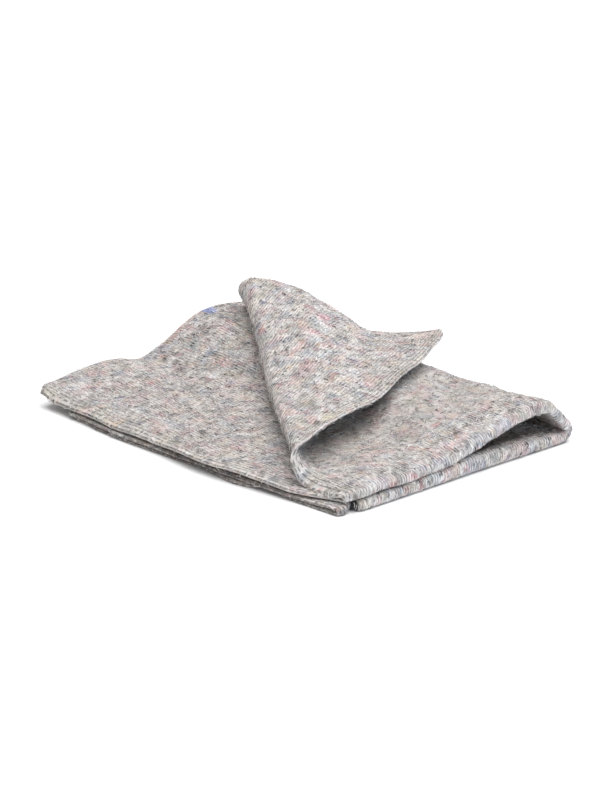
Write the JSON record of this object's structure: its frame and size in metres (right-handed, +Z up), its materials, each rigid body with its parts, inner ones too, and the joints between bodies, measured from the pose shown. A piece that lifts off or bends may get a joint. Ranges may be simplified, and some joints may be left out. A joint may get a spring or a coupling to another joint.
{
  "type": "folded felt pet blanket",
  "caption": "Soft grey flecked felt pet blanket folded in quarters, its loose top corner turned back in a slack roll; lies flat on a surface as bedding or padding",
  "frame": {"origin": "on the surface it lies on, under the middle of the folded blanket's box", "axes": "+X towards the crosswise fold with its two stacked rolls, +Y towards the wrapped lengthwise fold, +Z up"},
  "size_m": [0.4586, 0.3472, 0.0956],
  "materials": {
    "felt": "matte stitch-bonded felt of reclaimed fibres, light warm grey with dark, white, blue and pink flecks, in close pale stitch rows along its length"
  },
  "bodies": {
    "root": {"blanket": "felt"}
  },
  "joints": []
}
